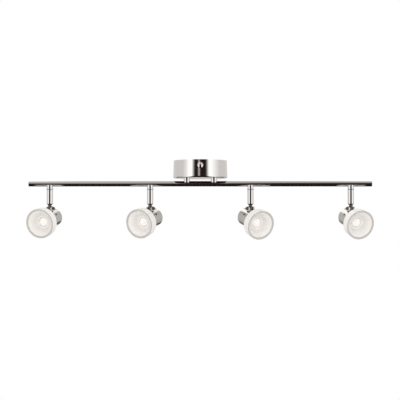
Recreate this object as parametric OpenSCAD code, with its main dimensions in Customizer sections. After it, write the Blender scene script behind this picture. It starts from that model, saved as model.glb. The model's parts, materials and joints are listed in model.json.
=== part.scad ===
// Four-light ceiling spot bar: a round canopy and two stems carry a straight
// tube, and four arms below it swivel and end in tilting spot heads.
// Millimetres, +Z up. The origin is the middle of the ceiling face on top of
// the canopy, the bar lies along X and the front of the fixture faces -Y.

/* [Canopy] */
// Outer diameter of the canopy at its lower edge
canopy_d = 120; // [112:1:160]
// How much wider the lower edge is than the ceiling edge, on the diameter
canopy_flare = 2; // [0:0.5:6]
// Height of the canopy from the ceiling to its underside
canopy_h = 39; // [36:1:60]
// Sheet thickness of the canopy
canopy_wall = 1.2; // [0.8:0.1:2]
// Outer radius of the rounded lower edge
canopy_edge_r = 3.5; // [2.5:0.5:8]
// Depth of the two side screws below the ceiling
side_screw_depth = 12.4; // [9:0.2:14]
// Diameter of the domed heads of the side screws
side_screw_head_d = 12.4; // [8:0.2:14]
// Thread diameter of the side screws
side_screw_d = 4; // [3:0.5:5]

/* [Mounting bracket] */
// Width of the bracket strap across the fixture's front-to-back line
bracket_w = 22; // [16:1:26]
// Sheet thickness of the bracket
bracket_t = 2; // [1.5:0.1:3]
// Length of the two bent tabs that take the side screws
bracket_tab_h = 18; // [17:1:22]
// Distance between the two slots for the ceiling box screws
box_screw_spacing = 88.9; // [70:0.1:92]
// Width of each slot
box_slot_w = 4.6; // [4:0.1:6]
// End-to-end length of each slot
box_slot_len = 13; // [8:0.5:14]
// Thread diameter of the ground screw
ground_screw_d = 4; // [3:0.5:5]

/* [Stems] */
// Distance between the two stems
stem_pitch = 60; // [50:1:76]
// Outer diameter of each stem
stem_d = 14; // [13:0.5:18]
// Height of the stem that shows between canopy and bar
stem_gap = 6; // [4:0.5:40]
// Thread diameter of the hollow stem end inside the canopy
stem_thread_d = 10; // [9:0.5:11]
// Bore of each stem for the lamp leads
stem_bore = 6.4; // [5.4:0.2:7]

/* [Bar] */
// Length of the bar over its end caps
bar_len = 760; // [720:5:1200]
// Outer diameter of the bar
bar_d = 12; // [11:0.5:13]
// Wall thickness of the bar
bar_wall = 1.2; // [0.8:0.1:1.6]
// Visible length of each end cap
cap_len = 5.5; // [3:0.5:12]
// Length of the plug that holds each end cap in the bar
cap_plug_len = 8; // [5:1:14]

/* [Arms] */
// Distance of the outer arms from the ends of the bar
arm_end_inset = 47; // [30:1:80]
// Outer diameter of the collars and arms
arm_d = 14; // [13:0.5:16]
// Wall thickness of the arm tube
arm_wall = 1.2; // [0.8:0.1:1.4]
// Height of the collar below the bar
collar_drop = 6.7; // [5:0.1:12]
// Length of the arm tube below the swivel seam
arm_len = 31.3; // [28:0.1:80]
// Length of the closed top end of the arm tube that turns on the nipple
arm_bush_len = 6; // [4:0.5:9]
// Diameter of the hollow nipple that the arm turns on
nipple_d = 8; // [7:0.1:8.6]
// Bore of the nipple
nipple_bore = 5; // [3.4:0.1:5.4]
// Thickness of the nipple's retaining flange
flange_t = 2; // [1.5:0.1:3]

/* [Knuckle] */
// Length of the plug that holds the knuckle in the arm tube
knuckle_plug_len = 8; // [5:0.5:10]
// Height of the cone at the end of the arm
cone_h = 2.7; // [2:0.1:5]
// Diameter of the turned bead below the cone
bead_d = 8.4; // [7:0.1:9]
// Height of the bead
bead_h = 1; // [0.6:0.1:2]
// Diameter of the knuckle's neck
neck_d = 5.8; // [5:0.1:6]
// Length of the neck from the bead to the tilt pivot
neck_len = 6.5; // [6.2:0.1:12]
// Width of the eye along the tilt pivot
eye_w = 8; // [7:0.1:10]
// Bore for the lamp lead through the neck and the eye
lead_bore = 3; // [2.6:0.1:3.2]

/* [Yoke] */
// Thickness of each ear of the yoke
ear_t = 3.7; // [3:0.1:5]
// Outer radius of the ears round the pivot
ear_r = 4.6; // [4:0.1:5]
// Length of the ears' foot along the lamp cup
yoke_len = 16; // [13:0.5:17]
// Radius of the yoke's four upright corners
yoke_corner_r = 2.4; // [1:0.1:3]
// Thickness of the bridge that joins the ears, at its thinnest
bridge_t = 2; // [1.2:0.1:2.2]
// Height of the tilt pivot above the lamp cup
pivot_rise = 3.25; // [3.2:0.05:6]
// Thread diameter of the pivot screws
pivot_screw_d = 3.6; // [3:0.1:4]
// Diameter of the plain tips that the eye turns on
pivot_tip_d = 2.6; // [2:0.1:2.8]
// Depth of each tip in the eye
pivot_tip_len = 2; // [1.5:0.1:2.2]
// Diameter of the pivot screws' domed heads
pivot_head_d = 6.6; // [5:0.1:7.6]
// Height of the taller head, on the lock screw
lock_head_h = 4.6; // [2.5:0.1:6]
// Height of the lower head, on the plain screw
plain_head_h = 1.9; // [1.2:0.1:3]

/* [Lamp cup] */
// Outer diameter of the lamp cup
cup_d = 39.4; // [36:0.2:46]
// Length of the lamp cup
cup_len = 51; // [46:0.5:64]
// Sheet thickness of the lamp cup
cup_wall = 1.2; // [0.8:0.1:1.4]
// Outer radius of the cup's rounded rear edge
cup_edge_r = 5; // [3:0.5:7]
// Distance of the tilt pivot from the cup's closed end
pivot_from_rear = 20; // [18:0.5:20.5]
// Diameter of the entry hole for the lamp lead
lead_hole_d = 4.4; // [4:0.1:5]

/* [Glass shade] */
// Outer diameter of the glass at its front
glass_d = 65.2; // [58:0.2:76]
// Outer diameter of the glass at its back
glass_back_d = 63.6; // [54:0.2:74]
// Depth of the glass in front of the cup
glass_depth = 22.8; // [18:0.2:30]
// Width of the flat cut rim
glass_rim = 3.2; // [2:0.1:5]
// Depth of the bowl from the rim to the lamp bore
bowl_depth = 20; // [14:0.2:20]
// Diameter of the bore that the lamp stands in
glass_bore_d = 22.8; // [22:0.1:24]
// Diameter of the glass neck inside the cup
glass_neck_d = 33; // [31:0.5:33.5]
// Length of the glass neck
glass_neck_len = 10; // [8:0.5:11]
// Depth of the groove for the shade screws
glass_groove = 0.8; // [0.4:0.1:1.2]
// Thread diameter of the shade screws
shade_screw_d = 3; // [2.5:0.1:3.5]
// Distance of the shade screws from the cup's front edge
shade_screw_inset = 4.5; // [3.5:0.1:6]

/* [Lamp and lampholder] */
// Thickness of the lampholder's round base
holder_base_t = 6; // [5:0.5:8]
// Distance of the lampholder's base in front of the tilt pivot
holder_offset = 1.5; // [0:0.1:4]
// Diameter of the lampholder's nose
holder_nose_d = 21; // [19:0.5:24]
// Length of the lampholder's nose
holder_nose_len = 5; // [3:0.5:7]
// Diameter of the lamp's frosted envelope
lamp_d = 21; // [16:0.5:21]
// Distance of the lamp's tip behind the front of the glass
lamp_tip_depth = 16.2; // [14:0.2:22]
// Distance between the two pins of the lamp
lamp_pin_pitch = 9; // [8:0.5:10]
// Angle of the holder screws round the cup from its top
holder_screw_angle = 58; // [40:1:80]
// Thread diameter of the holder screws
holder_screw_d = 2.5; // [2:0.1:3]

/* [Leads] */
// Diameter of each sheathed lamp lead
lead_d = 2.2; // [1.6:0.1:2.4]

/* [Rest pose] */
// How far each head is turned from straight ahead, positive to the right
head_yaw = [-20.5, -28.5, 28.5, 20]; // [-60:0.5:60]
// How far each head is tilted down
head_tilt = [12.5, 13, 17, 16]; // [-25:0.5:60]

/* [Fits] */
// Radial clearance of the parts that turn on each other
run_gap = 0.05; // [0.03:0.01:0.1]
// Radial clearance of threads, plugs and brazed seats
seat_gap = 0.05; // [0.02:0.01:0.1]
// Gap between faces that move past each other
face_gap = 0.3; // [0.3:0.05:0.6]
// Width of the seam between the lamp cup and the glass
shade_seam = 0.4; // [0.2:0.1:0.8]

/* [Hidden] */
$fn = 64;
eps = 0.01;
heads = 4;

// Heights, from the ceiling down
bar_z = -(canopy_h + stem_gap + bar_d / 2);
bar_bottom_z = bar_z - bar_d / 2;
seam_z = bar_bottom_z - collar_drop;
arm_top_z = seam_z - face_gap;
arm_end_z = arm_top_z - arm_len;
bead_top_z = arm_end_z - cone_h;
bead_end_z = bead_top_z - bead_h;
pivot_z = bead_end_z - neck_len;
flange_top_z = arm_top_z - arm_bush_len - face_gap;
nipple_end_z = flange_top_z - flange_t;

// Canopy and bracket
canopy_r = canopy_d / 2;
canopy_top_r = canopy_r - canopy_flare / 2;
canopy_floor_z = -canopy_h + canopy_wall;
function canopy_r_at(z) =
    canopy_top_r + (canopy_r - canopy_top_r) * min(1, -z / (canopy_h - canopy_edge_r));
side_screw_seat = canopy_r_at(-side_screw_depth - side_screw_head_d / 2) + seat_gap;
bracket_half = sqrt(pow(canopy_top_r - canopy_wall, 2) - pow(bracket_w / 2, 2)) - face_gap;
bend_r = 2;
nut_af = 1.4 * stem_thread_d;
nut_t = 4;
washer_d = 1.8 * stem_thread_d;
washer_t = 1.2;
stem_past_nut = 1.8;
stem_top_z = canopy_floor_z + washer_t + nut_t + stem_past_nut;
poles = 3;
block_size = [20, 13, 11];
block_y = 18;
ground_screw_y = -18;

// Bar and arms
bar_bore = bar_d - 2 * bar_wall;
bar_tube_len = bar_len - 2 * cap_len;
arm_pitch = (bar_len - 2 * arm_end_inset) / (heads - 1);
cope_h = bar_d / 4;
arm_bore = arm_d - 2 * arm_wall;
function arm_x(i) = (i - (heads + 1) / 2) * arm_pitch;
function lock_side(i) = arm_x(i) < 0 ? 1 : -1;

// Head, measured along its axis: positive ahead of the pivot, towards the glass
cup_r = cup_d / 2;
cup_front = cup_len - pivot_from_rear;
glass_back = cup_front + shade_seam;
glass_front = glass_back + glass_depth;
axis_drop = cup_r + pivot_rise;
eye_r = pivot_rise - face_gap - seat_gap;
ear_in = eye_w / 2 + face_gap;
ear_out = ear_in + ear_t;
shade_screw_pos = cup_front - shade_screw_inset;
groove_r = glass_neck_d / 2 - glass_groove;
holder_front = holder_offset + holder_base_t;
holder_screw_pos = holder_offset + holder_base_t / 2;
lamp_tip = glass_front - lamp_tip_depth;

// Points on a circular arc, for lathe profiles
function arc(cx, cy, r, from, to, steps = 8) =
    [for (k = [0:steps]) let (a = from + (to - from) * k / steps)
        [cx + r * cos(a), cy + r * sin(a)]];

module lathe(profile) rotate_extrude() polygon(profile);

// Round bar along X between two places
module rod_x(x0, x1, d) translate([x0, 0, 0]) rotate([0, 90, 0]) cylinder(d = d, h = x1 - x0);

// Frame of one arm, its origin on the tilt pivot and turned with the head
module on_arm(i) translate([arm_x(i), 0, pivot_z]) rotate([0, 0, head_yaw[i - 1]]) children();

// Frame of one head at rest, with the pivot along X and the glass towards -Y
module on_head(i) on_arm(i) rotate([head_tilt[i - 1], 0, 0]) children();

// Frame of the head's own axis, with Z pointing out of the glass
module on_axis(i) on_head(i) translate([0, 0, -axis_drop]) rotate([90, 0, 0]) children();

// Something set round the cup: local Z points outwards, angle 0 is its top
module round_cup(angle, pos) translate([0, 0, pos]) rotate([-90, 0, angle]) children();

// Domed screw head on the XY plane, with a driver slot across it
module domed_head(d, h, slot_w = 0.9) {
    crown = h - h / 3;
    slot_deep = min(0.9, h / 3);
    dome_r = (d * d / 4 + crown * crown) / (2 * crown);
    half = asin(d / 2 / dome_r);
    difference() {
        lathe(concat([[0, 0], [d / 2, 0]], arc(0, h - dome_r, dome_r, 90 - half, 90, 10)));
        translate([-d, -slot_w / 2, h - slot_deep]) cube([2 * d, slot_w, h]);
    }
}

// --- Ceiling plate group -------------------------------------------------

module canopy() {
    r_out = canopy_edge_r;
    r_in = canopy_edge_r - canopy_wall;
    side_hole_play = 0.5;
    corner_x = canopy_r - r_out;
    corner_z = -canopy_h + r_out;
    color("silver") difference() {
        lathe(concat(
            [[canopy_top_r - canopy_wall, 0], [canopy_top_r, 0]],
            arc(corner_x, corner_z, r_out, 0, -90),
            [[0, -canopy_h], [0, canopy_floor_z]],
            arc(corner_x, corner_z, r_in, -90, 0)));
        for (side = [-1, 1]) {
            translate([side * stem_pitch / 2, 0, -canopy_h - 1])
                cylinder(d = stem_thread_d + 2 * seat_gap, h = canopy_wall + 2);
            translate([0, 0, -side_screw_depth]) rotate([-90 * side, 0, 0])
                cylinder(d = side_screw_d + side_hole_play, h = canopy_r + 1);
        }
    }
}

module mounting_bracket() {
    half = bracket_half;
    r_in = bend_r - bracket_t / 2;
    color("gainsboro") difference() {
        translate([bracket_w / 2, 0, 0]) rotate([90, 0, -90]) linear_extrude(bracket_w)
            polygon(concat(
                arc(half - bend_r - r_in, -bend_r - r_in, bend_r + r_in, 90, 0),
                [[half, -bracket_tab_h], [half - bracket_t, -bracket_tab_h]],
                arc(half - bend_r - r_in, -bend_r - r_in, bend_r + r_in - bracket_t, 0, 90),
                arc(-half + bend_r + r_in, -bend_r - r_in, bend_r + r_in - bracket_t, 90, 180),
                [[-half + bracket_t, -bracket_tab_h], [-half, -bracket_tab_h]],
                arc(-half + bend_r + r_in, -bend_r - r_in, bend_r + r_in, 180, 90)));
        for (side = [-1, 1]) {
            translate([0, side * box_screw_spacing / 2, -bracket_t - 1])
                slot_y(box_slot_w, box_slot_len, bracket_t + 2);
            translate([0, 0, -side_screw_depth]) rotate([-90 * side, 0, 0])
                cylinder(d = side_screw_d + 2 * seat_gap, h = half + 1);
        }
        translate([0, ground_screw_y, -bracket_t - 1])
            cylinder(d = ground_screw_d + 2 * seat_gap, h = bracket_t + 2);
    }
}

// Upright slot with round ends that runs along Y
module slot_y(width, len, h) {
    reach = (len - width) / 2;
    for (side = [-1, 1]) translate([0, side * reach, 0]) cylinder(d = width, h = h);
    translate([-width / 2, -reach, 0]) cube([width, 2 * reach, h]);
}

module canopy_screws() {
    head_h = 4.6;
    slot_w = 1.2;
    end_past_tab = 2;
    thread_len = side_screw_seat - bracket_half + bracket_t + end_past_tab;
    color("silver") for (side = [-1, 1])
        translate([0, side * side_screw_seat, -side_screw_depth]) rotate([-90 * side, 0, 0]) {
            domed_head(side_screw_head_d, head_h, slot_w);
            translate([0, 0, -thread_len]) cylinder(d = side_screw_d, h = thread_len + eps);
        }
}

// Hexagon head with a flange, its thread ending just short of the ceiling
module ground_screw() {
    flange_d = 2.2 * ground_screw_d;
    flange_h = 1;
    hex_d = 1.75 * ground_screw_d;
    hex_h = 2.6;
    end_short = 0.2;
    color("seagreen") translate([0, ground_screw_y, -bracket_t]) rotate([180, 0, 0]) {
        translate([0, 0, flange_h]) cylinder(d = hex_d, h = hex_h, $fn = 6);
        cylinder(d = flange_d, h = flange_h + eps);
        translate([0, 0, -bracket_t + end_short]) cylinder(d = ground_screw_d, h = bracket_t);
    }
}

// Three-pole block under the bracket: a wire hole and a screw well for each pole
module terminal_block() {
    wire_hole_d = 3.4;
    well_d = 4;
    notch = [0.8, 5];
    pitch = block_size[0] / poles;
    color("ivory") translate([0, block_y, -bracket_t - block_size[2] / 2]) difference() {
        cube(block_size, center = true);
        for (k = [0:poles - 1]) translate([(k - 1) * pitch, 0, 0]) {
            rotate([90, 0, 0]) cylinder(d = wire_hole_d, h = block_size[1] + 2, center = true);
            for (side = [-1, 1]) translate([0, side * block_size[1] / 4, -block_size[2] / 2 - 1])
                cylinder(d = well_d, h = block_size[2] / 2 + 1);
        }
        for (k = [0:poles - 2]) translate([(k - 0.5) * pitch, 0, -block_size[2] / 2])
            cube([notch[0], block_size[1] + 2, notch[1]], center = true);
    }
}

// --- Stems and bar -------------------------------------------------------

// Stem: coped onto the bar below, shouldered under the canopy, threaded above
module stem(side) {
    color("silver") translate([side * stem_pitch / 2, 0, 0]) difference() {
        union() {
            translate([0, 0, bar_z + bar_d / 2 - cope_h]) cylinder(d = stem_d, h = stem_gap + cope_h);
            translate([0, 0, -canopy_h - eps]) cylinder(d = stem_thread_d, h = stem_top_z + canopy_h + eps);
        }
        translate([0, 0, bar_z]) rod_x(-stem_d, stem_d, bar_d + 2 * seat_gap);
        translate([0, 0, bar_z]) cylinder(d = stem_bore, h = -bar_z);
    }
}
module stem_left() stem(-1);
module stem_right() stem(1);

module stem_nuts() {
    hole = stem_thread_d + 2 * seat_gap;
    color("goldenrod") for (side = [-1, 1])
        translate([side * stem_pitch / 2, 0, canopy_floor_z]) {
            difference() {
                union() {
                    cylinder(d = washer_d, h = washer_t);
                    translate([0, 0, washer_t - eps]) cylinder(d = nut_af / cos(30), h = nut_t, $fn = 6);
                }
                translate([0, 0, -1]) cylinder(d = hole, h = washer_t + nut_t + 2);
            }
        }
}

module bar_tube() {
    color("silver") translate([0, 0, bar_z]) difference() {
        rod_x(-bar_tube_len / 2, bar_tube_len / 2, bar_d);
        rod_x(-bar_tube_len / 2 - 1, bar_tube_len / 2 + 1, bar_bore);
        for (side = [-1, 1]) translate([side * stem_pitch / 2, 0, 0]) cylinder(d = stem_bore, h = bar_d);
        for (i = [1:heads]) translate([arm_x(i), 0, -bar_d]) cylinder(d = nipple_bore, h = bar_d);
    }
}

// End cap: a flush head with a broken edge, on a plug pressed into the bar
module end_cap(side) {
    edge = 0.6;
    lead_in = 0.8;
    r = bar_d / 2;
    color("silver") translate([side * bar_tube_len / 2, 0, bar_z]) rotate([0, 90 * side, 0]) lathe(concat(
        [[0, -cap_plug_len], [bar_bore / 2 - lead_in, -cap_plug_len],
         [bar_bore / 2 - seat_gap, -cap_plug_len + lead_in], [bar_bore / 2 - seat_gap, seat_gap],
         [r, seat_gap]],
        arc(r - edge, cap_len - edge, edge, 0, 90, 4), [[0, cap_len]]));
}
module end_cap_left() end_cap(-1);
module end_cap_right() end_cap(1);

// --- Arms ----------------------------------------------------------------

// Collar coped onto the underside of the bar and tapped for the nipple
module collar(i) {
    color("silver") translate([arm_x(i), 0, 0]) difference() {
        translate([0, 0, seam_z]) cylinder(d = arm_d, h = collar_drop + cope_h);
        translate([0, 0, bar_z]) rod_x(-arm_d, arm_d, bar_d + 2 * seat_gap);
        translate([0, 0, seam_z - 1]) cylinder(d = nipple_d + 2 * seat_gap, h = collar_drop + cope_h);
    }
}

// Hollow nipple, its flange holding up the arm that turns on it
module swivel_nipple(i) {
    top_z = bar_bottom_z - face_gap;
    color("gainsboro") translate([arm_x(i), 0, nipple_end_z]) difference() {
        union() {
            cylinder(d = nipple_d, h = top_z - nipple_end_z);
            cylinder(d = arm_bore - 2 * face_gap, h = flange_t);
        }
        translate([0, 0, -1]) cylinder(d = nipple_bore, h = top_z - nipple_end_z + 2);
    }
}

module arm_tube(i) {
    color("silver") translate([arm_x(i), 0, arm_end_z]) difference() {
        cylinder(d = arm_d, h = arm_len);
        translate([0, 0, -1]) cylinder(d = arm_bore, h = arm_len - arm_bush_len + 1);
        cylinder(d = nipple_d + 2 * run_gap, h = arm_len + 1);
    }
}

// Knuckle: plug, cone and bead in line with the arm, then a neck with a cross eye
module knuckle(i) {
    plug_r = arm_bore / 2 - seat_gap;
    flare = [0.6, 1];
    color("silver") on_arm(i) difference() {
        union() {
            lathe([[0, 0], [neck_d / 2, 0], [neck_d / 2, neck_len - flare[1]],
                [neck_d / 2 + flare[0], neck_len],
                [bead_d / 2, neck_len], [bead_d / 2, neck_len + bead_h],
                [arm_d / 2, neck_len + bead_h + cone_h - seat_gap],
                [plug_r, neck_len + bead_h + cone_h - seat_gap],
                [plug_r, neck_len + bead_h + cone_h + knuckle_plug_len],
                [0, neck_len + bead_h + cone_h + knuckle_plug_len]]);
            rod_x(-eye_w / 2, eye_w / 2, 2 * eye_r);
        }
        translate([0, 0, -eye_r - 1])
            cylinder(d = lead_bore, h = eye_r + neck_len + bead_h + cone_h + knuckle_plug_len + 2);
        for (side = [-1, 1]) translate([side * eye_w / 2, 0, 0])
            rod_x(-pivot_tip_len - face_gap, pivot_tip_len + face_gap, pivot_tip_d + 2 * run_gap);
    }
}

// --- Heads ---------------------------------------------------------------

// Yoke: two ears and the bridge that joins them ahead of the eye, rounded at
// the upright corners and coped onto the lamp cup
module yoke(i) {
    foot_drop = axis_drop - sqrt(pow(cup_r, 2) - pow(ear_out, 2)) + 1;
    bridge_gap = 1.2;
    color("silver") on_head(i) difference() {
        intersection() {
            union() {
                for (side = [-1, 1]) ear(side, foot_drop);
                translate([-ear_out, -yoke_len / 2, -foot_drop])
                    cube([2 * ear_out, yoke_len / 2 - eye_r - bridge_gap, foot_drop - pivot_rise + bridge_t]);
            }
            translate([0, 0, -foot_drop - 1]) linear_extrude(foot_drop + ear_r + 2)
                polygon(rounded_oblong(ear_out, yoke_len / 2, yoke_corner_r));
        }
        translate([0, 0, -axis_drop]) rotate([90, 0, 0])
            cylinder(r = cup_r + seat_gap, h = 2 * yoke_len, center = true, $fn = 128);
        rod_x(-ear_out - 1, ear_out + 1, pivot_screw_d + 2 * seat_gap);
    }
}

// One ear: round at its top, with a smaller turned boss on the outer face
module ear(side, drop) {
    boss_h = 0.9;
    boss_step = 0.6;
    translate([side > 0 ? ear_in : -ear_out, 0, 0]) {
        rod_x(0, ear_t, 2 * (ear_r - boss_step));
        rod_x(side > 0 ? 0 : boss_h, side > 0 ? ear_t - boss_h : ear_t, 2 * ear_r);
        rotate([90, 0, 90]) linear_extrude(ear_t) polygon(ear_flank(drop));
    }
}

// Outline of an oblong with rounded corners, given its half width and half length
function rounded_oblong(w, l, r) = concat(
    arc(w - r, l - r, r, 0, 90, 4), arc(-w + r, l - r, r, 90, 180, 4),
    arc(-w + r, -l + r, r, 180, 270, 4), arc(w - r, -l + r, r, 270, 360, 4));

// Side outline of an ear below its round top, in Y and Z: straight flanks that
// leave the circle as tangents and end at the foot
function ear_flank(drop) =
    let (reach = sqrt(pow(yoke_len / 2, 2) + pow(pivot_rise, 2)),
         lean = acos(ear_r / reach) - atan(pivot_rise / (yoke_len / 2)))
    [[ear_r * cos(lean), ear_r * sin(lean)], [yoke_len / 2, -pivot_rise], [yoke_len / 2, -drop],
     [-yoke_len / 2, -drop], [-yoke_len / 2, -pivot_rise], [-ear_r * cos(lean), ear_r * sin(lean)]];

// The two screws that carry the head: a tall lock screw and a low plain one,
// each with a smooth tip in the eye
module pivot_screws(i) {
    color("silver") on_head(i) for (side = [-1, 1]) {
        head_h = side == lock_side(i) ? lock_head_h : plain_head_h;
        rotate([0, 90 * side, 0]) {
            translate([0, 0, ear_out + seat_gap]) domed_head(pivot_head_d, head_h);
            translate([0, 0, ear_in]) cylinder(d = pivot_screw_d, h = ear_t + 2 * seat_gap);
            translate([0, 0, eye_w / 2 - pivot_tip_len])
                cylinder(d = pivot_tip_d, h = pivot_tip_len + face_gap + eps);
        }
    }
}

// Drawn cup, open towards the glass
module lamp_cup(i) {
    r_out = cup_edge_r;
    r_in = cup_edge_r - cup_wall;
    rear = -pivot_from_rear;
    color("silver") on_axis(i) difference() {
        lathe(concat(
            [[cup_r - cup_wall, cup_front], [cup_r, cup_front]],
            arc(cup_r - r_out, rear + r_out, r_out, 0, -90),
            [[0, rear], [0, rear + cup_wall]],
            arc(cup_r - r_out, rear + r_out, r_in, -90, 0)));
        round_cup(0, 0) cylinder(d = lead_hole_d, h = cup_r + 1);
        for (angle = [60, 180, 300])
            round_cup(angle, shade_screw_pos) cylinder(d = shade_screw_d + 2 * seat_gap, h = cup_r + 1);
        for (side = [-1, 1])
            round_cup(side * holder_screw_angle, holder_screw_pos)
                cylinder(d = holder_screw_d + 2 * seat_gap, h = cup_r + 1);
    }
}

// Pressed glass: an outer puck with a flared bowl, and a grooved neck behind
module glass_shade(i) {
    edge = 1.2;
    back_edge = 3;
    r_front = glass_d / 2;
    r_back = glass_back_d / 2;
    neck_r = glass_neck_d / 2;
    neck_end = glass_back - glass_neck_len;
    groove_w = shade_screw_d + 2 * face_gap;
    bowl_r = r_front - glass_rim;
    bore_r = glass_bore_d / 2;
    color("whitesmoke", 0.7) on_axis(i) lathe(concat(
        [[bowl_r, glass_front]],
        arc(r_front - edge, glass_front - edge, edge, 90, 0, 4),
        arc(r_back - back_edge, glass_back + back_edge, back_edge, 0, -90, 6),
        [[neck_r, glass_back], [neck_r, shade_screw_pos + groove_w / 2],
         [groove_r, shade_screw_pos + groove_w / 2 - glass_groove / 2],
         [groove_r, shade_screw_pos - groove_w / 2 + glass_groove / 2],
         [neck_r, shade_screw_pos - groove_w / 2], [neck_r, neck_end], [bore_r, neck_end]],
        [for (k = [0:12]) let (t = k / 12) bowl_point(t, bore_r, bowl_r)]));
}

// The bowl's inner wall, from the bore (t = 0) to the rim (t = 1)
function bowl_point(t, bore_r, bowl_r) =
    [bore_r + (bowl_r - bore_r) * pow(t, 0.85), glass_front - bowl_depth * (1 - pow(t, 1.25))];

// Ceramic lampholder: a round base screwed in the cup, a nose with the two
// pin sockets, and the tail of its lead from the entry hole above
module lamp_holder(i) {
    base_r = cup_r - cup_wall - seat_gap;
    lead_notch = [8, 5];
    pin_hole_d = 2.4;
    pin_hole_past = 2;
    screw_hole_deep = 5;
    tail = rounded([[0, cup_r - cup_wall / 2, 0], [0, cup_r - 8, 0], [0, cup_r - 12, -5],
        [0, 4, -6], [0, 1, -3], [0, 1, holder_offset - seat_gap]], 3);
    color("ivory") on_axis(i) {
        difference() {
            union() {
                translate([0, 0, holder_offset]) cylinder(r = base_r, h = holder_base_t);
                translate([0, 0, holder_front - eps]) cylinder(d = holder_nose_d, h = holder_nose_len);
            }
            translate([-lead_notch[0] / 2, base_r - lead_notch[1], holder_offset - 1])
                cube([lead_notch[0], lead_notch[1] + 1, holder_base_t + 2]);
            for (side = [-1, 1]) {
                translate([side * lamp_pin_pitch / 2, 0, holder_front - pin_hole_past])
                    cylinder(d = pin_hole_d, h = holder_nose_len + pin_hole_past + 1);
                round_cup(side * holder_screw_angle, holder_screw_pos)
                    translate([0, 0, base_r - screw_hole_deep])
                        cylinder(d = holder_screw_d + 2 * seat_gap, h = screw_hole_deep + 1);
            }
        }
        color("white") tube(tail, lead_d);
    }
}

// Frosted capsule lamp with two wire pins
module lamp(i) {
    r = lamp_d / 2;
    base_r = 0.82 * r;
    seat = holder_front + holder_nose_len + seat_gap;
    neck = seat + 6;
    swell = 2;
    dome_h = 5.5;
    dome_steps = 9;
    pin_d = 1;
    pin_len = 5;
    color("white") on_axis(i) {
        lathe(concat([[0, seat], [base_r, seat], [base_r, neck], [r, neck + swell]],
            [for (k = [0:dome_steps]) let (a = 90 * k / dome_steps)
                [r * cos(a), lamp_tip - dome_h * (1 - sin(a))]]));
        for (side = [-1, 1]) translate([side * lamp_pin_pitch / 2, 0, seat - pin_len])
            cylinder(d = pin_d, h = pin_len + eps);
    }
}

// Three shade screws round the cup's mouth and the two holder screws
module cup_screws(i) {
    thread_past = 3;
    color("dimgray") on_axis(i) {
        for (angle = [60, 180, 300]) round_cup(angle, shade_screw_pos) {
            translate([0, 0, cup_r + seat_gap]) domed_head(1.7 * shade_screw_d, 0.6 * shade_screw_d, 0.7);
            translate([0, 0, groove_r + face_gap]) cylinder(d = shade_screw_d, h = cup_r - groove_r);
        }
        for (side = [-1, 1]) round_cup(side * holder_screw_angle, holder_screw_pos) {
            translate([0, 0, cup_r + seat_gap]) domed_head(1.6 * holder_screw_d, 0.48 * holder_screw_d, 0.6);
            translate([0, 0, cup_r - cup_wall - thread_past])
                cylinder(d = holder_screw_d, h = cup_wall + thread_past + 2 * seat_gap);
        }
    }
}

// --- Leads ---------------------------------------------------------------

lane_gap = 0.3;
lead_clear = 0.5;
lead_bend = 4.5;

// Path with each inner corner rounded by a short curve that starts r before it
function rounded(p, r, steps = 4) = concat([p[0]],
    [for (k = [1:len(p) - 2])
        let (a = p[k - 1] - p[k], b = p[k + 1] - p[k],
             cut = min(r, norm(a) / 2.2, norm(b) / 2.2),
             from = p[k] + a / norm(a) * cut, to = p[k] + b / norm(b) * cut)
        for (s = [0:steps]) let (t = s / steps)
            (1 - t) * (1 - t) * from + 2 * t * (1 - t) * p[k] + t * t * to],
    [p[len(p) - 1]]);

// Round tube swept along a path; each ring is turned as little as it can be
function unit(v) = v / norm(v);
function heading(p, k) = unit(p[min(k + 1, len(p) - 1)] - p[max(k - 1, 0)]);
function side_dir(p, k, last) = let (h = heading(p, k)) unit(last - h * (last * h));
function sides_along(p, k = 0, last = [0.31, 0.84, 0.44]) =
    k >= len(p) ? [] : let (d = side_dir(p, k, last)) concat([d], sides_along(p, k + 1, d));
module tube(p, d, n = 8) {
    dirs = sides_along(p);
    rings = len(p);
    points = [for (k = [0:rings - 1]) let (u = dirs[k], v = cross(heading(p, k), u))
        for (j = [0:n - 1]) p[k] + d / 2 * (cos(360 * j / n) * u + sin(360 * j / n) * v)];
    walls = [for (k = [0:rings - 2], j = [0:n - 1]) let (m = (j + 1) % n)
        for (half = [0, 1]) half == 0
            ? [k * n + j, (k + 1) * n + j, (k + 1) * n + m]
            : [k * n + j, (k + 1) * n + m, k * n + m]];
    polyhedron(points, concat(walls,
        [[for (j = [0:n - 1]) j], [for (j = [n - 1:-1:0]) (rings - 1) * n + j]]));
}

// Route of the lead to one arm: out of the terminal block, down through the
// nearer stem, along the bar and down into the arm's nipple
function lead_route(i) =
    let (side = arm_x(i) < 0 ? -1 : 1, outer = abs(arm_x(i)) > arm_pitch ? 1 : -1,
         stem_x = side * stem_pitch / 2, lane = outer * (lead_d / 2 + lane_gap / 2),
         pole_x = side * block_size[0] / poles + lane,
         block_face_y = block_y - block_size[1] / 2 - lead_clear,
         block_z = -bracket_t - block_size[2] / 2,
         floor_z = bar_z - bar_bore / 2 + lead_d / 2 + 2 * lead_clear)
    [[pole_x, block_face_y, block_z],
     [pole_x, block_face_y - lead_bend, block_z],
     [side * (stem_pitch / 2 - 11), lane, block_z - 6],
     [stem_x - side * 3, lane, stem_top_z + 7],
     [stem_x, lane, stem_top_z - 2],
     [stem_x, lane, floor_z],
     [arm_x(i) - side * 12, lane, floor_z],
     [arm_x(i), 0, floor_z],
     [arm_x(i), 0, nipple_end_z]];
module supply_wiring() {
    color("dimgray") for (i = [1:heads]) tube(rounded(lead_route(i), 4), lead_d);
}

// The lead's length inside each arm, down to the bottom of the eye
module arm_lead(i) {
    color("dimgray") on_arm(i) translate([0, 0, -eye_r])
        cylinder(d = lead_d, h = nipple_end_z - pivot_z + eye_r - face_gap);
}

// --- Assembly ------------------------------------------------------------

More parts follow.
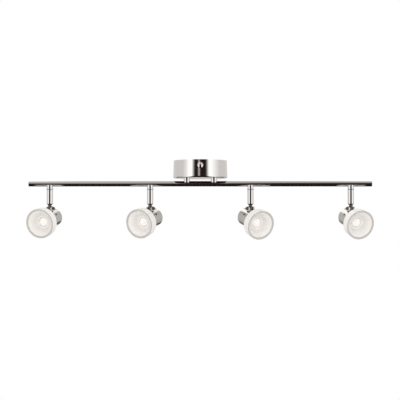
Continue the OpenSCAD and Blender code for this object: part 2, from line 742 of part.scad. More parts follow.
canopy();
mounting_bracket();
canopy_screws();
ground_screw();
terminal_block();
supply_wiring();
stem_left();
stem_right();
stem_nuts();
bar_tube();
end_cap_left();
end_cap_right();
for (i = [1:heads]) {
    collar(i);
    swivel_nipple(i);
    arm_tube(i);
    knuckle(i);
    arm_lead(i);
    yoke(i);
    pivot_screws(i);
    lamp_cup(i);
    glass_shade(i);
    lamp_holder(i);
    lamp(i);
    cup_screws(i);
}
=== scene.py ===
"""Four-light ceiling spot bar: its finishes, pressed glass shades, arm trim, room and camera.

Everything is in metres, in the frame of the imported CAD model: +Z up, the ceiling at 0,
the bar along X and the front of the fixture towards -Y.
"""

import json
import math

import bmesh
import bpy
from bpy.props import FloatProperty, FloatVectorProperty, IntProperty, PointerProperty
from mathutils import Matrix, Vector


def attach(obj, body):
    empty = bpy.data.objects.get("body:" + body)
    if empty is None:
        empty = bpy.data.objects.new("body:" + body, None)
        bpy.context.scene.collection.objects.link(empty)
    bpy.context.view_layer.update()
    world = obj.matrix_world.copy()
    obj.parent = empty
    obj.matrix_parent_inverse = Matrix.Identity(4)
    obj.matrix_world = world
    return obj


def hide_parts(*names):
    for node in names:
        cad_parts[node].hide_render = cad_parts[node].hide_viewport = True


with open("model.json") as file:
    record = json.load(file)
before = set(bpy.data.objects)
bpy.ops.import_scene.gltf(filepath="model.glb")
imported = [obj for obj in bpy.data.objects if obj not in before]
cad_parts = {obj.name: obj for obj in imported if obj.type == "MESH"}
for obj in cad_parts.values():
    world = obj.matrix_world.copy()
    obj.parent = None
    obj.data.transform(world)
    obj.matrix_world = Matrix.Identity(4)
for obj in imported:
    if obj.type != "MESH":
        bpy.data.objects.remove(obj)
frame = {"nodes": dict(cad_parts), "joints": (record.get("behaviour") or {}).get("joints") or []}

bl_info = {
    "name": "Four-Light Ceiling Spot Bar",
    "version": (1, 0, 0),
    "blender": (4, 5, 0),
    "location": "View3D > Sidebar > Spot Bar",
    "description": "Finishes a four-light ceiling spot bar and lights it in a plain studio",
    "category": "Object",
}

MM = 0.001
HEADS = 4
CREASE = math.radians(32)  # edges sharper than this stay crisp
WHITE = (1, 1, 1, 1)
WALL_HUE = (1.0, 0.965, 0.935)
UNLIT = (0.026, 0.014, 0.014)
SOFTBOX_SIZE = (1.6, 1.2)
SOFTBOX_PLACE = (0, -2.5, -0.1)
NODES = frame["nodes"]
JOINTS = {joint["name"]: joint for joint in frame["joints"]}


def linear(hex_colour):
    """An sRGB hex colour as linear red, green and blue."""
    channels = [int(hex_colour[k:k + 2], 16) / 255 for k in (1, 3, 5)]
    return [c / 12.92 if c <= 0.04045 else ((c + 0.055) / 1.055) ** 2.4 for c in channels]


def add(tree, kind, inputs=None, **settings):
    """Adds one node: settings are its own properties, inputs are values or sockets to link."""
    node = tree.nodes.new("ShaderNode" + kind)
    for name, value in settings.items():
        setattr(node, name, value)
    for name, value in (inputs or {}).items():
        if isinstance(value, bpy.types.NodeSocket):
            tree.links.new(value, node.inputs[name])
        else:
            node.inputs[name].default_value = value
    return node


# --- Settings ------------------------------------------------------------


def colour(name, description, hex_colour):
    """A colour setting with its default given in sRGB hex."""
    return FloatVectorProperty(name=name, description=description, subtype="COLOR", size=3,
                               min=0, max=1, default=linear(hex_colour))


def length(name, description, millimetres):
    """A length setting with its default given in millimetres."""
    return FloatProperty(name=name, description=description, subtype="DISTANCE", unit="LENGTH",
                         min=0, default=millimetres * MM)


class SPOTBAR_PG_finishes(bpy.types.PropertyGroup):
    """Colours of the fixture's finishes."""

    plate: colour("Chromium", "Bright chromium plate of the canopy, bar and arms", "#D6D5D4")
    cup_plate: colour("Cup chromium", "Softer chromium plate of the lamp cups", "#BDBBB8")
    nickel: colour("Dark nickel", "Dark nickel plate of the tilt hinges", "#6A6360")
    zinc: colour("Zinc plate", "Clear zinc plate of the bracket, nuts and nipples", "#C2C6C8")
    ground: colour("Ground screw", "Green coating of the ground screw", "#2F7F4B")
    black_oxide: colour("Black oxide", "Black oxide of the small cup screws", "#2C2B2A")
    nylon: colour("Nylon", "Natural nylon of the terminal block", "#E6E2D6")
    sheath: colour("Lead sheath", "Silicone sheath of the lamp leads", "#5A5A5C")
    glass: colour("Glass", "Pressed glass of the shades", "#F9F5F1")
    # Grey of the glass rim: painted shade for the dark ring of its clear edge
    rim: colour("Glass rim", "Ground and polished rim of the shades", "#C8C5C1")
    steatite: colour("Steatite", "Pressed steatite of the lampholders", "#E8E3D6")
    envelope: colour("Lamp", "Frosted envelope of the lamps", "#FCF9F5")


class SPOTBAR_PG_shade(bpy.types.PropertyGroup):
    """Sizes of the pressed glass shade."""

    depth: length("Depth", "Depth of the glass in front of its shoulder", 22.8)
    taper: length("Taper", "How much smaller the glass is in radius at its back", 0.8)
    rim: length("Rim", "Width of the cut rim", 3.2)
    bowl: length("Bowl depth", "Depth of the bowl from the rim to the lamp bore", 20)
    bore: length("Bore", "Radius of the bore that the lamp stands in", 10.8)
    lip: length("Bore lip", "Radius of the rounded edge between the bore and the bowl", 1.2)
    neck: length("Neck", "Radius of the neck inside the cup", 16.5)
    neck_length: length("Neck length", "Length of the neck behind the shoulder", 10)
    groove: length("Groove", "Depth of the groove for the shade screws", 0.8)
    groove_width: length("Groove width", "Width of the groove at its mouth", 3.6)
    groove_back: length("Groove place", "Distance of the groove's middle behind the shoulder", 4.9)
    edge: length("Front edge", "Radius of the outer front edge", 1.2)
    shoulder: length("Shoulder", "Radius of the outer back edge", 3)
    around: IntProperty(name="Segments", description="Faces round the glass", min=24, default=144)


class SPOTBAR_PG_trim(bpy.types.PropertyGroup):
    """Sizes of the thin turned trim on each arm, from the tilt pivot up."""

    ring: length("Swivel ring", "Radius of the glide ring in the swivel seam", 7.2)
    ring_height: length("Ring height", "Height of the glide ring", 1.3)
    seam: length("Seam", "Height of the swivel seam above the tilt pivot", 41.65)
    sleeve: length("Neck sleeve", "Radius of the sleeve on the knuckle's neck", 3.8)
    sleeve_foot: length("Sleeve foot", "Height of the sleeve's foot above the pivot", 3.1)
    sleeve_top: length("Sleeve top", "Height of the sleeve's top above the pivot", 6.6)
    bore: length("Trim bore", "Radius inside the trim", 2.8)
    ease: length("Eased edge", "Bevel on the edges of the trim", 0.25)
    around: IntProperty(name="Segments", description="Faces round the trim", min=12, default=48)


class SPOTBAR_PG_studio(bpy.types.PropertyGroup):
    """The room, lights and camera."""

    floor_drop: length("Floor", "Depth of the floor below the ceiling", 2600)
    floor: colour("Floor colour", "Pale floor under the fixture", "#F2F2F0")
    distance: length("Distance", "Distance of the camera in front of the bar", 2500)
    eye_drop: length("Camera height", "Depth of the camera below the ceiling", 144)
    aim_drop: length("Aim", "Depth of the point that the camera looks at", 86.9)
    eye_aside: length("Camera aside", "Distance of the camera to the left of the middle", 0.7)
    focal: FloatProperty(name="Focal length", description="Focal length of the camera in mm",
                         min=10, default=101.7)
    room: FloatProperty(name="Room light", description="Level of the light from all round",
                        min=0, default=1.0)
    key: FloatProperty(name="Key light", description="Power of the large soft lamp",
                       subtype="POWER", unit="POWER", min=0, default=11)


# --- Finishes ------------------------------------------------------------


def new_finish(name):
    """A material with an empty tree: its tree, its shader and its object coordinates."""
    material = bpy.data.materials.new(name)
    material.use_nodes = True
    tree = material.node_tree
    tree.nodes.clear()
    shader = add(tree, "BsdfPrincipled")
    add(tree, "OutputMaterial", {"Surface": shader.outputs["BSDF"]})
    place = add(tree, "TexCoord").outputs["Object"]
    return material, tree, shader, place


def grain(tree, place, size_mm, detail=2.0, stretch=None):
    """Noise whose patches are about size_mm wide."""
    if stretch is not None:
        place = add(tree, "Mapping", {"Vector": place, "Scale": stretch}).outputs["Vector"]
    return add(tree, "TexNoise", {"Vector": place, "Scale": 1 / (size_mm * MM),
                                  "Detail": detail, "Roughness": 0.55}).outputs["Fac"]


def spread(tree, value, low, high, bottom=0.3, top=0.7):
    """Maps a pattern onto a range of values."""
    return add(tree, "MapRange", {"Value": value, "From Min": bottom, "From Max": top,
                                  "To Min": low, "To Max": high}).outputs["Result"]


def tint(tree, pattern, colour_a, colour_b):
    """A colour that runs from one tint to another with a pattern."""
    mix = add(tree, "MixRGB", {"Fac": pattern})
    mix.inputs["Color1"].default_value = (*colour_a, 1)
    mix.inputs["Color2"].default_value = (*colour_b, 1)
    return mix.outputs["Color"]


def ramp(tree, value, stops, hue=(1, 1, 1)):
    """A scale over 0 to 1 from (place, level) stops, in one hue."""
    node = add(tree, "ValToRGB", {"Fac": value})
    elements = node.color_ramp.elements
    while len(elements) < len(stops):
        elements.new(0.5)
    for element, (position, level) in zip(elements, stops):
        element.position = position
        element.color = (*(level * c for c in hue), 1)
    return node.outputs["Color"]


def shaded(rgb, share):
    """A colour darkened or lightened by one share."""
    return [min(1.0, c * share) for c in rgb]


def dress(tree, shader, rgb, rough, bumps, **fixed):
    """Wires a colour, a roughness and bumps (height, depth in mm, strength) into the shader."""
    tree.links.new(rgb, shader.inputs["Base Color"])
    tree.links.new(rough, shader.inputs["Roughness"])
    below = {}
    for height, depth_mm, strength in bumps:
        bump = add(tree, "Bump", {"Height": height, "Distance": depth_mm * MM,
                                  "Strength": strength, **below})
        below = {"Normal": bump.outputs["Normal"]}
    tree.links.new(below["Normal"], shader.inputs["Normal"])
    for name, value in fixed.items():
        shader.inputs[name.replace("_", " ")].default_value = value


def bright_chromium(colours):
    """Decorative chromium electroplate over polished nickel on drawn steel and turned brass.

    To the eye it is a cold, near-perfect mirror, with a trace of the buffing wheel's haze and
    the very shallow waviness of polished tube.
    """
    material, tree, shader, place = new_finish("bright_chromium_plate")
    haze = grain(tree, place, 9, detail=3)
    buffing = grain(tree, place, 0.6, stretch=(1, 1, 0.12))
    rgb = tint(tree, haze, shaded(colours.plate, 0.97), shaded(colours.plate, 1.02))
    rough = spread(tree, haze, 0.035, 0.07)
    dress(tree, shader, rgb, rough,
          [(grain(tree, place, 14, detail=1), 0.012, 0.25), (buffing, 0.0008, 0.1)], Metallic=1.0)
    return material


def cup_chromium(colours):
    """Chromium plate over a deep-drawn brass cup, polished less than the tubes.

    Its reflections are a little softer, and fine lathe-polish lines run round the cup.
    """
    material, tree, shader, place = new_finish("soft_chromium_plate")
    haze = grain(tree, place, 6, detail=3)
    rgb = tint(tree, haze, shaded(colours.cup_plate, 0.96), shaded(colours.cup_plate, 1.02))
    rough = spread(tree, haze, 0.09, 0.16)
    dress(tree, shader, rgb, rough,
          [(grain(tree, place, 8, detail=1), 0.012, 0.3), (grain(tree, place, 0.5), 0.001, 0.12)],
          Metallic=1.0)
    return material


def dark_nickel(colours):
    """Dark nickel plate on the small turned hinge parts: a warm smoke-grey satin metal."""
    material, tree, shader, place = new_finish("dark_nickel_plate")
    wear = grain(tree, place, 1.2, detail=4)
    turning = grain(tree, place, 0.3, stretch=(1, 1, 0.2))
    rgb = tint(tree, wear, shaded(colours.nickel, 0.9), shaded(colours.nickel, 1.1))
    dress(tree, shader, rgb, spread(tree, wear, 0.22, 0.36), [(turning, 0.002, 0.2)], Metallic=1.0)
    return material


def clear_zinc(colours):
    """Clear-passivated zinc plate on pressed and turned steel.

    It looks satin grey-white, with a faint blue and straw bloom and pressing scuffs.
    """
    material, tree, shader, place = new_finish("clear_zinc_plate")
    bloom = grain(tree, place, 5, detail=4)
    scuffs = grain(tree, place, 0.8, stretch=(0.15, 1, 1))
    warm = [c * k for c, k in zip(colours.zinc, (1.02, 0.99, 0.9))]
    cold = [c * k for c, k in zip(colours.zinc, (0.9, 0.95, 1.02))]
    dress(tree, shader, tint(tree, bloom, warm, cold), spread(tree, scuffs, 0.28, 0.46),
          [(scuffs, 0.004, 0.35)], Metallic=1.0)
    return material


def green_coating(colours):
    """Green-dyed coating over the steel ground screw, thin enough to keep a metal sheen."""
    material, tree, shader, place = new_finish("green_coated_steel")
    wear = grain(tree, place, 1.6, detail=4)
    rgb = tint(tree, spread(tree, wear, 0, 1, 0.45, 0.75),
               colours.ground, shaded(colours.ground, 1.6))
    dress(tree, shader, rgb, spread(tree, wear, 0.3, 0.5), [(wear, 0.004, 0.3)], Metallic=0.7)
    return material


def black_oxide(colours):
    """Hot black oxide on small steel screws: near black, oiled, with paler worn crowns."""
    material, tree, shader, place = new_finish("black_oxide_steel")
    wear = grain(tree, place, 0.7, detail=3)
    rgb = tint(tree, spread(tree, wear, 0, 1, 0.5, 0.8),
               colours.black_oxide, shaded(colours.black_oxide, 2.2))
    dress(tree, shader, rgb, spread(tree, wear, 0.3, 0.5), [(wear, 0.003, 0.3)], Metallic=0.9)
    return material


def moulded_nylon(colours):
    """Injection-moulded natural nylon 66: milky off-white with a spark-eroded satin skin."""
    material, tree, shader, place = new_finish("moulded_nylon")
    flow = grain(tree, place, 7)
    skin = grain(tree, place, 0.25)
    rgb = tint(tree, flow, shaded(colours.nylon, 0.96), shaded(colours.nylon, 1.02))
    dress(tree, shader, rgb, spread(tree, skin, 0.42, 0.58), [(skin, 0.01, 0.3)], IOR=1.53)
    return material


def silicone_sheath(colours):
    """Extruded silicone sheath with a dusting of talc: soft dark grey with a dry sheen."""
    material, tree, shader, place = new_finish("silicone_sheath")
    talc = grain(tree, place, 1.2, detail=4)
    rgb = tint(tree, spread(tree, talc, 0, 1), colours.sheath, shaded(colours.sheath, 1.25))
    dress(tree, shader, rgb, spread(tree, talc, 0.45, 0.65), [(talc, 0.01, 0.2)],
          IOR=1.41, Sheen_Weight=0.15)
    return material


def steatite(colours):
    """Dry-pressed, unglazed steatite: matt ivory ceramic with a fine die-pressed grain."""
    material, tree, shader, place = new_finish("pressed_steatite")
    press = grain(tree, place, 0.4, detail=4)
    stain = grain(tree, place, 6)
    rgb = tint(tree, stain, shaded(colours.steatite, 0.95), colours.steatite)
    dress(tree, shader, rgb, spread(tree, press, 0.55, 0.75), [(press, 0.02, 0.35)], IOR=1.6)
    return material


def satin_glass(colours):
    """Pressed soda-lime glass, acid-etched on its outside and in its bowl.

    The etch breaks the light up, so the glass glows like ground ice and hides the lamp's
    outline. The real etch grain is about 0.05 mm, drawn coarser so that it shows. Round the
    bore the colour greys softly: this is painted shade, for the shade in the bowl's throat
    and of the dark cup behind the glass.
    """
    material, tree, shader, place = new_finish("acid_etched_glass")
    etch = grain(tree, place, 0.5, detail=3)
    streaks = grain(tree, place, 7, detail=2)
    x, y, _ = add(tree, "SeparateXYZ", {"Vector": place}).outputs
    off_axis = add(tree, "CombineXYZ", {"X": x, "Y": y}).outputs["Vector"]
    radius = add(tree, "VectorMath", {0: off_axis}, operation="LENGTH").outputs["Value"]
    reach = 32  # mm from the lamp axis to the end of the painted shade's ramp
    painted_shade_radius = add(tree, "MapRange", {"Value": radius, "From Max": reach * MM}).outputs["Result"]
    # Painted shade: the glass greys towards the bore, for the shade in the bowl's throat and of the
    # dark cup behind it
    painted_bore_shade = ramp(tree, painted_shade_radius, [(r / reach, share) for r, share in
                                 ((12.5, 1), (16, 0.87), (19, 0.89), (25, 1))])
    glass = tint(tree, streaks, shaded(colours.glass, 0.985), colours.glass)
    rgb = add(tree, "MixRGB", {"Fac": 1.0, "Color1": glass, "Color2": painted_bore_shade},
              blend_type="MULTIPLY").outputs["Color"]
    dress(tree, shader, rgb, spread(tree, streaks, 0.5, 0.6), [(etch, 0.01, 0.08)],
          IOR=1.52, Transmission_Weight=0.08)
    return material


def cut_glass(colours):
    """The ground rim of the pressed glass: cut flat and half polished, so clearer than the etch.
    Its grey colour is painted shade, for the dark ring that the clear edge shows.
    """
    material, tree, shader, place = new_finish("polished_rim_glass")
    wave = grain(tree, place, 3)
    # The rim's grey is painted shade; the wave is an uneven polish
    rgb = tint(tree, wave, shaded(colours.rim, 0.97), shaded(colours.rim, 1.03))
    dress(tree, shader, rgb, spread(tree, wave, 0.25, 0.35), [(wave, 0.02, 0.2)],
          IOR=1.52, Transmission_Weight=0.15)
    return material


def frosted_envelope(colours):
    """Soda-lime lamp envelope with an inner white coating: matt, chalky and even."""
    material, tree, shader, place = new_finish("frosted_lamp_glass")
    coat = grain(tree, place, 4)
    rgb = tint(tree, coat, shaded(colours.envelope, 0.98), colours.envelope)
    dress(tree, shader, rgb, spread(tree, coat, 0.32, 0.42), [(coat, 0.01, 0.1)],
          IOR=1.52)
    return material


def paint_slot(slot_name, material):
    """Gives every CAD node of one material slot its finish, and leaves its mesh alone."""
    for node in NODES.values():
        slot = node.material_slots[0]
        if slot.material is not None and slot.material.name == slot_name:
            slot.link = "OBJECT"
            slot.material = material


# --- Shapes --------------------------------------------------------------


def head_place(i):
    """Where head i is, from its joint and its CAD glass.

    X runs along the tilt pins and Z out of the glass; the origin is on the lamp axis,
    abreast of the pins. The glass has its most area on its flat shoulder, which gives Z.
    """
    tilt = JOINTS[f"tilt_{i}"]
    pins = Vector(tilt["axis"]).normalized()
    pivot = Vector(tilt["pos_m"])
    glass = NODES[f"glass_shade_{i}"].data
    areas = {}
    for face in glass.polygons:
        key = tuple(round(c, 3) for c in face.normal)
        total, _ = areas.get(key, (0.0, None))
        areas[key] = (total + face.area, face.normal.copy())
    shoulder = max(areas.values(), key=lambda entry: entry[0])[1]
    middle = sum((v.co for v in glass.vertices), Vector()) / len(glass.vertices)
    out = shoulder if shoulder.dot(middle - pivot) > 0 else -shoulder
    out = (out - pins * out.dot(pins)).normalized()
    up = out.cross(pins)
    reach = [(v.co - pivot).dot(up) for v in glass.vertices]
    origin = pivot + up * (min(reach) + max(reach)) / 2
    place = Matrix((pins, up, out)).transposed().to_4x4()
    place.translation = origin
    return place


def arc(centre_r, centre_z, radius, start, end, steps):
    """Points (radius, height) along a circular arc of a lathe profile."""
    points = []
    for k in range(steps + 1):
        angle = math.radians(start + (end - start) * k / steps)
        points.append((centre_r + radius * math.cos(angle), centre_z + radius * math.sin(angle)))
    return points


def turned(name, profile, around, rim_zone=()):
    """A mesh turned from a closed profile of (radius, height) points round the Z axis.

    The faces that start at the profile points in rim_zone take the second material.
    """
    mesh = bpy.data.meshes.new(name)
    vertices = []
    for k in range(around):
        angle = 2 * math.pi * k / around
        vertices += [(r * math.cos(angle), r * math.sin(angle), z) for r, z in profile]
    count = len(profile)
    faces = []
    zones = []
    for k in range(around):
        here, there = k * count, (k + 1) % around * count
        for j in range(count):
            after = (j + 1) % count
            faces.append((here + j, there + j, there + after, here + after))
            zones.append(int(j in rim_zone))
    mesh.from_pydata(vertices, [], faces)
    mesh.polygons.foreach_set("material_index", zones)
    build = bmesh.new()
    build.from_mesh(mesh)
    bmesh.ops.recalc_face_normals(build, faces=build.faces)
    build.to_mesh(mesh)
    build.free()
    mesh.shade_smooth()
    mesh.set_sharp_from_angle(angle=CREASE)
    return mesh


def shade_mesh(sizes, place, glass):
    """The pressed shade in its own frame: outer puck, grooved neck, bore and flared bowl."""
    inverse = place.inverted()
    local = [inverse @ v.co for v in glass.data.vertices]
    front = max(p.z for p in local)
    outer = max(math.hypot(p.x, p.y) for p in local)
    back = front - sizes.depth
    back_outer = outer - sizes.taper
    bowl_r = outer - sizes.rim
    polish = 0.25 * MM  # chamfer inside the cut rim
    soft = 0.4 * MM  # chamfer on the moulded corners of the neck
    neck_end = back - sizes.neck_length
    groove_mid = back - sizes.groove_back
    groove_r = sizes.neck - sizes.groove
    half_mouth = sizes.groove_width / 2
    half_floor = half_mouth - sizes.groove / 2
    bore_loop = 6 * MM  # height of an extra loop, which keeps the bore's shading straight
    bowl_steps = 24
    flare, dish = 0.85, 1.25  # how soon the bowl widens, and how late it rises
    rim_steps = 3  # faces at the bowl's mouth that are cut with the rim and take its painted grey
    profile = [(bowl_r + polish, front)]
    profile += arc(outer - sizes.edge, front - sizes.edge, sizes.edge, 90, 0, 6)
    rim_count = len(profile) - 1
    wall_top, wall_end = front - sizes.edge, back + sizes.shoulder
    profile += [(outer - sizes.taper * t, wall_top + (wall_end - wall_top) * t)
                for t in (0.25, 0.5, 0.75)]
    profile += arc(back_outer - sizes.shoulder, wall_end, sizes.shoulder, 0, -90, 10)
    profile += [
        (sizes.neck + soft, back), (sizes.neck, back - soft),
        (sizes.neck, groove_mid + half_mouth), (groove_r, groove_mid + half_floor),
        (groove_r, groove_mid - half_floor), (sizes.neck, groove_mid - half_mouth),
        (sizes.neck, neck_end + soft), (sizes.neck - soft, neck_end),
        (sizes.bore + soft, neck_end), (sizes.bore, neck_end + soft),
        (sizes.bore, neck_end + bore_loop)]
    floor = front - sizes.bowl
    profile += arc(sizes.bore + sizes.lip, floor - sizes.lip, sizes.lip, 180, 90, 8)
    start = sizes.bore + sizes.lip
    for k in range(1, bowl_steps + 1):
        t = k / bowl_steps
        profile.append((start + (bowl_r - start) * t ** flare,
                        front - polish - (sizes.bowl - polish) * (1 - t ** dish)))
    rim_zone = {*range(rim_count), *range(len(profile) - rim_steps, len(profile))}
    return turned("pressed_shade", profile, sizes.around, rim_zone)


def band_profile(inner, outer, bottom, top, ease):
    """Lathe profile of a plain ring with eased outer edges."""
    return [(inner, bottom), (outer - ease, bottom), (outer, bottom + ease),
            (outer, top - ease), (outer - ease, top), (inner, top)]


# --- Operators -----------------------------------------------------------


class SPOTBAR_OT_metalwork(bpy.types.Operator):
    """Plates the canopy, stems, bar, arms, knuckles, yokes and lamp cups"""

    bl_idname = "spotbar.metalwork"
    bl_label = "Plate the Metalwork"

    def execute(self, context):
        colours = context.scene.spotbar_finishes
        paint_slot("chrome", bright_chromium(colours))
        softer = cup_chromium(colours)
        paint_slot("cup_chrome", softer)
        paint_slot("yoke_chrome", softer)
        paint_slot("hinge_nickel", dark_nickel(colours))
        paint_slot("zinc_steel", clear_zinc(colours))
        paint_slot("green_steel", green_coating(colours))
        paint_slot("black_steel", black_oxide(colours))
        return {"FINISHED"}


class SPOTBAR_OT_wiring(bpy.types.Operator):
    """Finishes the terminal block, the lamp leads and the lampholders"""

    bl_idname = "spotbar.wiring"
    bl_label = "Finish the Electrical Parts"

    def execute(self, context):
        colours = context.scene.spotbar_finishes
        paint_slot("white_plastic", moulded_nylon(colours))
        paint_slot("lead_sheath", silicone_sheath(colours))
        paint_slot("ceramic", steatite(colours))
        return {"FINISHED"}


class SPOTBAR_OT_shades(bpy.types.Operator):
    """Builds the four pressed glass shades with their cut rims"""

    bl_idname = "spotbar.shades"
    bl_label = "Press the Glass Shades"

    def execute(self, context):
        colours = context.scene.spotbar_finishes
        sizes = context.scene.spotbar_shade
        mesh = shade_mesh(sizes, head_place(1), NODES["glass_shade_1"])
        mesh.materials.append(satin_glass(colours))
        mesh.materials.append(cut_glass(colours))
        for i in range(1, HEADS + 1):
            shade = bpy.data.objects.new(f"pressed_shade_{i}", mesh)
            context.scene.collection.objects.link(shade)
            shade.matrix_world = head_place(i)
            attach(shade, f"head_{i}")
            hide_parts(f"glass_shade_{i}")
        return {"FINISHED"}


class SPOTBAR_OT_trim(bpy.types.Operator):
    """Fits the glide rings into the swivel seams and the sleeves onto the knuckle necks"""

    bl_idname = "spotbar.trim"
    bl_label = "Fit the Arm Trim"

    def execute(self, context):
        trim = context.scene.spotbar_trim
        finish = dark_nickel(context.scene.spotbar_finishes)
        half = trim.ring_height / 2
        profiles = {
            "glide_ring": band_profile(trim.ring - 2 * trim.ease, trim.ring, trim.seam - half,
                                       trim.seam + half, trim.ease),
            "neck_sleeve": band_profile(trim.bore, trim.sleeve, trim.sleeve_foot,
                                        trim.sleeve_top, trim.ease),
        }
        for piece, profile in profiles.items():
            mesh = turned(piece, profile, trim.around)
            mesh.materials.append(finish)
            for i in range(1, HEADS + 1):
                band = bpy.data.objects.new(f"{piece}_{i}", mesh)
                context.scene.collection.objects.link(band)
                band.location = JOINTS[f"tilt_{i}"]["pos_m"]
                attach(band, f"arm_{i}")
        return {"FINISHED"}


class SPOTBAR_OT_lamps(bpy.types.Operator):
    """Frosts the four lamps"""

    bl_idname = "spotbar.lamps"
    bl_label = "Frost the Lamps"

    def execute(self, context):
        paint_slot("frosted_lamp", frosted_envelope(context.scene.spotbar_finishes))
        return {"FINISHED"}


def straight_view(tree, path):
    """1 for what the eye sees straight or through glass, and 0 for all other light."""
    return add(tree, "Math", {0: path.outputs["Is Camera Ray"],
                              1: path.outputs["Is Transmission Ray"]},
               operation="MAXIMUM").outputs[0]


def build_room(world, level):
    """White room for the eye, and for metal the studio that it mirrors.

    Bright metal shows pale walls, a tall white screen either side of the camera, two white
    reflectors high up behind the fixture and the dark, warm unlit room in front of it.
    """
    world.use_nodes = True
    tree = world.node_tree
    tree.nodes.clear()
    direction = add(tree, "TexCoord").outputs["Generated"]
    x, y, z = add(tree, "SeparateXYZ", {"Vector": direction}).outputs
    ahead = add(tree, "Math", {0: y, 1: -1.0}, operation="MULTIPLY").outputs[0]
    turn = add(tree, "Math", {0: z, 1: ahead}, operation="ARCTAN2").outputs[0]
    ring = add(tree, "MapRange", {"Value": turn, "From Min": -math.pi, "From Max": math.pi})
    ring = ring.outputs["Result"]
    along = add(tree, "MapRange", {"Value": x, "From Min": -1.0, "From Max": 1.0})
    along = along.outputs["Result"]

    def at(degrees):
        """Place on the ring round the bar: 0 ahead, 90 overhead, -90 below, 180 behind."""
        return (degrees + 180) / 360

    def aside(x):
        """Place along the bar: -1 is due left, 0 square to it and 1 due right."""
        return (x + 1) / 2

    def times(first, second):
        """Two masks multiplied."""
        return add(tree, "Math", {0: first, 1: second}, operation="MULTIPLY").outputs[0]

    def over(mask, below, above):
        """One colour laid over another through a mask."""
        return add(tree, "MixRGB", {"Fac": mask, "Color1": below, "Color2": above}).outputs["Color"]

    def even(*stops):
        """A mask along the bar from (distance aside, level) stops, the same on both sides."""
        left = [(aside(-x), share) for x, share in reversed(stops)]
        return ramp(tree, along, left + [(aside(x), share) for x, share in stops])

    def slope(*stops):
        """A mask along the bar from (place along it, level) stops."""
        return ramp(tree, along, [(aside(x), share) for x, share in stops])

    def band(*stops):
        """A mask round the bar from (degrees, level) stops."""
        return ramp(tree, ring, [(at(degrees), share) for degrees, share in stops])

    walls = ramp(tree, ring, [(0, 0.86), (at(-165), 0.78), (at(-110), 0.26), (at(-60), 0.2),
                              (at(-12), 0.6), (at(0), 0.8), (at(15), 0.8), (at(22), 0.64),
                              (at(95), 0.66), (at(120), 0.8), (1, 0.86)], WALL_HUE)
    # Pale ends of the room, a grey flat overhead on the right and the floor at the back
    ends = even((0.86, 0), (0.95, 1))
    grey_flat = times(band((18, 0), (24, 1), (90, 1), (110, 0)),
                      slope((-0.12, 0), (0.1, 1), (0.3, 1), (0.4, 0)))
    far_floor = times(band((-174, 1), (-169, 0)), even((0.3, 1), (0.4, 0)))
    # The two halves of the white screen, and the reflectors behind
    screen = times(band((-130, 0), (-115, 1), (45, 1), (70, 0)),
                   slope((-0.985, 0), (-0.924, 0.29), (-0.845, 0.63), (-0.79, 0.92), (-0.75, 1),
                         (-0.47, 1), (-0.42, 0), (0.42, 0), (0.47, 1), (0.72, 1), (0.8, 0.84),
                         (0.9, 0.6), (0.95, 0.36), (1, 0.12)))
    left_reflector = times(band((82, 0), (95, 1), (152, 1), (165, 0)),
                           slope((-0.66, 0), (-0.52, 1), (-0.22, 1), (-0.1, 0)))
    right_reflector = times(band((112, 0), (124, 1), (146, 1), (158, 0)),
                            slope((0.1, 0), (0.18, 1), (0.36, 1), (0.5, 0)))
    # The unlit room in front, its raised right edge, a grey sill in it and a gap over that
    dark = times(band((-170, 0), (-160, 1), (13, 1), (20, 0)),
                 even((0.35, 1), (0.4, 0.93), (0.468, 0.75), (0.535, 0.42), (0.6, 0)))
    dark_lip = times(band((13, 0), (14, 1), (28, 1), (36, 0)),
                     slope((0, 0), (0.07, 1), (0.35, 1), (0.5, 0)))
    sill = times(band((0.2, 0), (0.8, 1), (1.7, 1), (2, 0)), even((0.15, 1), (0.25, 0)))
    gap = times(band((1.8, 0), (2.3, 1), (6, 1), (9, 0)),
                slope((-0.2, 0), (-0.13, 1), (-0.06, 1), (0.01, 0)))
    mirrored = walls
    for mask, shade in ((ends, (0.86, 0.84, 0.82)), (grey_flat, (0.5, 0.46, 0.46)),
                        (far_floor, (0.64, 0.6, 0.59)), (screen, (1.55, 1.53, 1.5)),
                        (left_reflector, (1.9, 1.87, 1.83)), (right_reflector, (1.6, 1.57, 1.53)),
                        (dark, UNLIT), (dark_lip, UNLIT), (sill, (0.12, 0.1, 0.1)),
                        (gap, (0.6, 0.55, 0.5))):
        mirrored = over(mask, mirrored, (*shade, 1))
    path = add(tree, "LightPath")
    grey = over(path.outputs["Is Glossy Ray"], (level, level, level, 1), mirrored)
    seen = over(straight_view(tree, path), grey, WHITE)
    background = add(tree, "Background", {"Color": seen, "Strength": 1.0})
    add(tree, "OutputWorld", {"Surface": background.outputs["Background"]})


def pale_floor(rgb):
    """Matt pale paint, which shows as plain white to the eye but still takes a soft shadow."""
    material, tree, shader, _ = new_finish("pale_floor_paint")
    white_share = 0.9  # the rest is left to the shadow
    shader.inputs["Base Color"].default_value = (*rgb, 1)
    shader.inputs["Roughness"].default_value = 0.9
    white = add(tree, "Emission", {"Color": WHITE, "Strength": 1.0})
    share = add(tree, "Math", {0: straight_view(tree, add(tree, "LightPath")),
                               1: white_share}, operation="MULTIPLY")
    mix = add(tree, "MixShader", {"Fac": share.outputs[0], 1: shader.outputs["BSDF"],
                                  2: white.outputs["Emission"]})
    output = next(node for node in tree.nodes if node.type == "OUTPUT_MATERIAL")
    tree.links.new(mix.outputs["Shader"], output.inputs["Surface"])
    return material


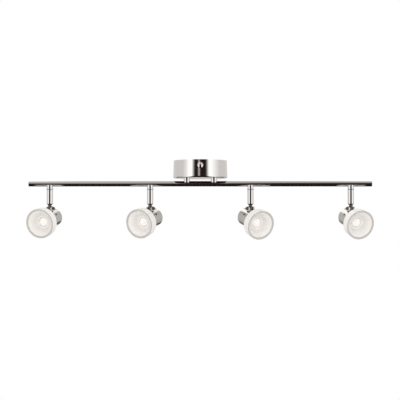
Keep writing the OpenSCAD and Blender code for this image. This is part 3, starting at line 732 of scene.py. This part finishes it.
class SPOTBAR_OT_studio(bpy.types.Operator):
    """Sets the floor, the soft lights and the camera"""

    bl_idname = "spotbar.studio"
    bl_label = "Set the Studio"

    def execute(self, context):
        scene = context.scene
        studio = scene.spotbar_studio
        scene.view_settings.view_transform = "Standard"
        if scene.world is None:
            scene.world = bpy.data.worlds.new("studio")
        build_room(scene.world, studio.room)

        reach = 12.0  # half the floor's width
        mesh = bpy.data.meshes.new("studio_floor")
        corners = [(-reach, -reach), (reach, -reach), (reach, reach), (-reach, reach)]
        mesh.from_pydata([(x, y, 0) for x, y in corners], [], [(0, 1, 2, 3)])
        mesh.materials.append(pale_floor(studio.floor))
        floor = bpy.data.objects.new("studio_floor", mesh)
        scene.collection.objects.link(floor)
        floor.location.z = -studio.floor_drop
        floor.visible_glossy = False

        lamp = bpy.data.lights.new("key_softbox", "AREA")
        lamp.shape = "RECTANGLE"
        lamp.size, lamp.size_y = SOFTBOX_SIZE
        lamp.energy = studio.key
        softbox = bpy.data.objects.new("key_softbox", lamp)
        scene.collection.objects.link(softbox)
        softbox.location = SOFTBOX_PLACE
        softbox.rotation_euler = (-softbox.location).to_track_quat("-Z", "Y").to_euler()
        softbox.visible_glossy = False
        softbox.visible_camera = False

        camera = bpy.data.objects.new("front_camera", bpy.data.cameras.new("front_camera"))
        scene.collection.objects.link(camera)
        camera.location = (-studio.eye_aside, -studio.distance, -studio.eye_drop)
        aim = Vector((-studio.eye_aside, 0, -studio.aim_drop))
        camera.rotation_euler = (aim - camera.location).to_track_quat("-Z", "Y").to_euler()
        camera.data.sensor_width = 36
        camera.data.lens = studio.focal
        camera.data.clip_end = 50
        camera.data.dof.use_dof = False
        scene.camera = camera
        return {"FINISHED"}


class SPOTBAR_PT_sidebar(bpy.types.Panel):
    """Lists the steps and settings of the spot bar"""

    bl_idname = "SPOTBAR_PT_sidebar"
    bl_label = "Spot Bar"
    bl_space_type = "VIEW_3D"
    bl_region_type = "UI"
    bl_category = "Spot Bar"

    def draw(self, context):
        for operator in STEPS:
            self.layout.operator(operator.bl_idname)
        for group in GROUPS:
            box = self.layout.box()
            settings = getattr(context.scene, group)
            for name in settings.__annotations__:
                box.prop(settings, name)


GROUPS = {
    "spotbar_finishes": SPOTBAR_PG_finishes,
    "spotbar_shade": SPOTBAR_PG_shade,
    "spotbar_trim": SPOTBAR_PG_trim,
    "spotbar_studio": SPOTBAR_PG_studio,
}
STEPS = (
    SPOTBAR_OT_metalwork,
    SPOTBAR_OT_wiring,
    SPOTBAR_OT_shades,
    SPOTBAR_OT_trim,
    SPOTBAR_OT_lamps,
    SPOTBAR_OT_studio,
)
CLASSES = (*GROUPS.values(), *STEPS, SPOTBAR_PT_sidebar)


def register():
    """Adds the settings, steps and panel to Blender."""
    for cls in CLASSES:
        bpy.utils.register_class(cls)
    for name, group in GROUPS.items():
        setattr(bpy.types.Scene, name, PointerProperty(type=group))


def unregister():
    """Takes the settings, steps and panel out of Blender again."""
    for name in GROUPS:
        delattr(bpy.types.Scene, name)
    for cls in reversed(CLASSES):
        bpy.utils.unregister_class(cls)


def main():
    """Dresses the fixture and sets the studio."""
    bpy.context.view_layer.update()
    register()
    bpy.ops.spotbar.metalwork()
    bpy.ops.spotbar.wiring()
    bpy.ops.spotbar.shades()
    bpy.ops.spotbar.trim()
    bpy.ops.spotbar.lamps()
    bpy.ops.spotbar.studio()


if __name__ == "__main__":
    main()
